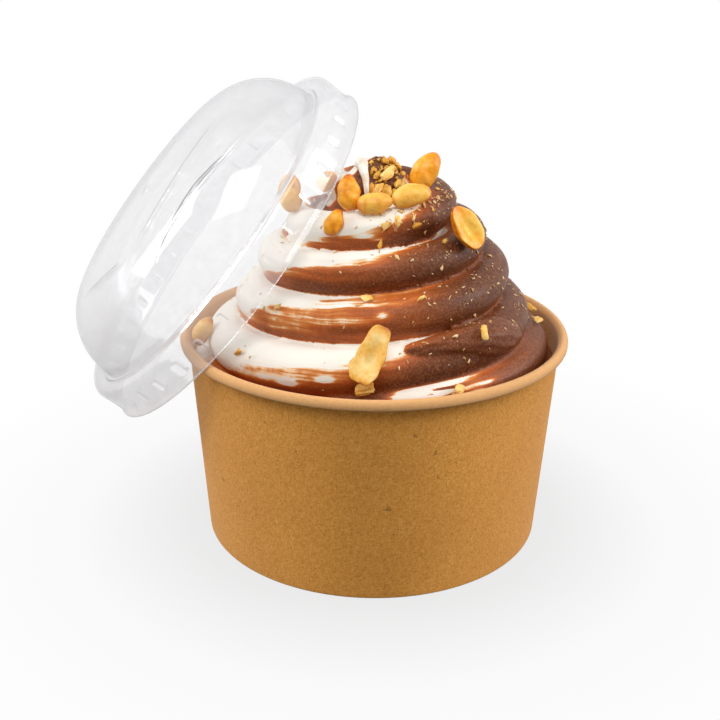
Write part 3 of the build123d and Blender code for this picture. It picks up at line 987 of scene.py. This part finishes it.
def make_vanilla_tail(material):
    """Thin tail of vanilla that hangs from the peak."""
    table = np.array(tail_places) * MM
    around = steps_around_tail
    values = np.linspace(0, len(table) - 1, sections_of_tail)
    columns = [np.interp(values, range(len(table)), column) for column in table.T]
    smooth, radii = np.stack(columns[:3], axis=-1), columns[3]
    for _ in range(4):
        smooth[1:-1] = (smooth[:-2] + 2 * smooth[1:-1] + smooth[2:]) / 4
    along = np.gradient(smooth, axis=0)
    along /= np.linalg.norm(along, axis=1)[:, None]
    caps = np.sqrt(np.clip(1 - ((values - values[-1] / 2) / (values[-1] / 2)) ** 16, 0.002, 1))
    points = []
    for spot, size, run in zip(smooth, radii * caps, along):
        first = np.cross(run, (1.0, 0.0, 0.0))
        first /= np.linalg.norm(first)
        second = np.cross(run, first)
        for j in range(around):
            angle = 2 * math.pi * j / around
            points.append(spot + size * (math.cos(angle) * first + math.sin(angle) * second))
    faces = tube_faces(sections_of_tail, around)
    mesh_object("vanilla_tail", points, faces, material, "soft_serve")


def lid_profile(inset):
    """Half section of the lid from its open edge to its top, one face of the sheet."""
    skirt = rim_diameter / 2 + lid_clearance + lid_sheet
    bead = (skirt - lid_bead_radius, lid_skirt_height)
    turn = math.radians(lid_groove_angle)
    reach = lid_bead_radius + lid_groove_radius
    groove = (bead[0] + reach * math.cos(turn), bead[1] + reach * math.sin(turn))
    groove_radius = lid_groove_radius + inset
    wall = groove[0] - groove_radius
    dome = lid_height - lid_wall_height
    outside = wall + inset
    crown = lid_crown_radius
    shoulder = (2 * dome * crown - outside ** 2 - dome ** 2) / (2 * (crown - outside))
    low = (outside - shoulder, lid_wall_height)
    high = (0, lid_height - crown)
    meet = math.degrees(math.atan2(low[1] - high[1], low[0]))
    points = line((skirt + lid_flare - inset, 0), (skirt - inset, lid_flare_height), 4)
    points += line((skirt - inset, lid_flare_height), (skirt - inset, lid_skirt_height), 22)
    points += arc(bead, lid_bead_radius - inset, 0, lid_groove_angle, 14)
    points += arc(groove, groove_radius, lid_groove_angle - 180, -lid_groove_angle, 8)[1:]
    points += line((wall, groove[1]), (wall, lid_wall_height), 3)[1:]
    points += arc(low, shoulder - inset, 0, meet, 28)
    points += arc(high, crown - inset, meet, 90 - meet, 16)[1:]
    points[-1] = (0.05 * MM, points[-1][1])
    return points


def make_lid(material):
    """Clear dome lid with its snap lugs pressed into the skirt."""
    profile = lid_profile(0) + lid_profile(lid_sheet)[::-1]

    def shift(distance, height, angle):
        phase = np.mod(angle / (2 * np.pi) * lug_count, 1) - 0.5
        across = np.abs(phase) * 2 * np.pi * rim_diameter / 2 / lug_count
        near = np.clip(1 - across / (lug_width * 0.75), 0, 1)
        rise = np.clip((height - lug_height) / lug_edge, 0, 1)
        rise *= np.clip((lug_height + lug_length - height) / lug_edge, 0, 1)
        dome = np.clip((height - lid_wall_height) / (8 * MM), 0, 1)
        wobble = 0.10 * MM * np.sin(3 * angle + 1.0) * dome + 0.05 * MM * np.sin(9 * angle) * dome
        return distance - lug_depth * near * rise + wobble * np.clip(distance / (20 * MM), 0, 1), height

    points = revolved(profile, steps_around_lid, shift)
    radius = rim_diameter / 2
    x, y, z = (share * radius for share in lid_place_shares)
    lean = Matrix.Translation((x, y, cup_height + z))
    lean = lean @ Matrix.Rotation(math.radians(lid_azimuth), 4, "Z")
    lean = lean @ Matrix.Rotation(math.radians(-lid_tilt), 4, "Y")
    faces = ring_faces(len(profile), steps_around_lid, closed_rings=True)
    piece = mesh_object("lid", place_mesh(points, lean), faces, material, "clear_lid")
    mark(piece, "lid_place", (points / MM).ravel(), "FLOAT_VECTOR")
    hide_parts("dome_lid")


def make_camera():
    """The camera that took the photograph, as fitted to it."""
    place = Vector(camera_place) * MM
    pitch, yaw, roll = camera_turns
    right = Vector((math.cos(yaw), -math.sin(yaw), 0))
    level = Vector((math.sin(yaw), math.cos(yaw), 0))
    ahead = level * math.cos(pitch) - Vector((0, 0, math.sin(pitch)))
    up = right.cross(ahead)
    across = right * math.cos(roll) - up * math.sin(roll)
    upright = right * math.sin(roll) + up * math.cos(roll)
    data = bpy.data.cameras.new("camera")
    data.sensor_width = sensor_width
    data.sensor_fit = "HORIZONTAL"
    data.lens = sensor_width * focal_pixels / photo_pixels
    data.clip_start = 0.01
    camera = bpy.data.objects.new("camera", data)
    bpy.context.collection.objects.link(camera)
    matrix = Matrix.Identity(4)
    for row in range(3):
        matrix[row] = (across[row], upright[row], -ahead[row], place[row])
    camera.matrix_world = matrix
    bpy.context.scene.camera = camera


def area_light(name, place, target, size, power):
    """A soft lamp that faces its target."""
    data = bpy.data.lights.new(name, "AREA")
    data.shape = "RECTANGLE"
    data.size, data.size_y = size
    data.energy = power
    light = bpy.data.objects.new(name, data)
    bpy.context.collection.objects.link(light)
    light.location = place
    light.rotation_euler = (Vector(target) - Vector(place)).to_track_quat("-Z", "Y").to_euler()


def make_stage():
    """White floor, soft lamps and a white surround."""
    floor = mesh_object("floor", [(-6, -6, 0), (6, -6, 0), (6, 6, 0), (-6, 6, 0)], [(0, 1, 2, 3)],
                        floor_material(), None, smooth=False)
    middle = (0, 0, 0.05)
    area_light("key", (-0.79, -0.02, 0.46), middle, (0.40, 0.50), 4.7)
    area_light("side", (0.79, 0.02, 0.42), middle, (0.40, 0.50), 5.0)
    area_light("top", (0.0, -0.42, 0.78), middle, (0.5, 0.5), 3.9)
    world = bpy.data.worlds.new("surround")
    bpy.context.scene.world = world
    s = Shading(world)
    dim = s.shader("Background", Color=(1.0, 0.99, 0.97, 1), Strength=0.36)
    white = s.shader("Background", Color=grey(1.0), Strength=1.0)
    s.finish(s.shader("MixShader", n0=s.seen(), n1=dim, n2=white), "OutputWorld")
    bpy.context.scene.view_settings.view_transform = "Standard"


make_camera()
make_stage()
rng = random.Random(7)
kraft_tones = (srgb(162, 98, 32), srgb(232, 159, 68), srgb(254, 203, 118))
kraft = paper_material("kraft_paper", kraft_tones, srgb(216, 170, 122))
nut = nut_material("roasted_nut", srgb(242, 158, 12), srgb(252, 204, 90), srgb(200, 96, 4))
pale = nut_material("pale_nut", srgb(248, 186, 74), srgb(254, 218, 126), srgb(218, 130, 26))
cream = nut_material("broken_nut", srgb(238, 176, 62), srgb(252, 222, 148), srgb(196, 112, 18))
crumb = nut_material("nut_crumb", srgb(214, 158, 92), srgb(246, 216, 164), srgb(150, 70, 36))
amber = nut_material("peak_nut", srgb(222, 146, 38), srgb(250, 206, 100), srgb(156, 78, 14))
make_side_wall(kraft)
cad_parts["base_disc"].data.materials.clear()
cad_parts["base_disc"].data.materials.append(kraft)
frozen = soft_serve_material()
swirl = make_swirl(frozen)
vanilla = vanilla_material()
make_filling(vanilla)
nut_looks = {3: pale, 4: pale, broken_nut: cream, 8: cream, 9: cream, 10: cream}
for number, place in enumerate(nut_place_shares, 1):
    make_nut(number, place, nut_looks.get(number, nut), rng)
for number, place in enumerate(chip_place_shares, 1):
    make_chip(number, place, rope_shares, cream, rng)
for number, place in enumerate(fold_chip_shares, len(chip_place_shares) + 1):
    make_chip(number, place, fold_shares, cream, rng)
tree = BVHTree.FromObject(swirl, bpy.context.evaluated_depsgraph_get())
make_crumbs(tree, crumb, rng)
make_peak_bits(tree, amber, rng)
make_vanilla_tail(vanilla)
make_lid(lid_material())
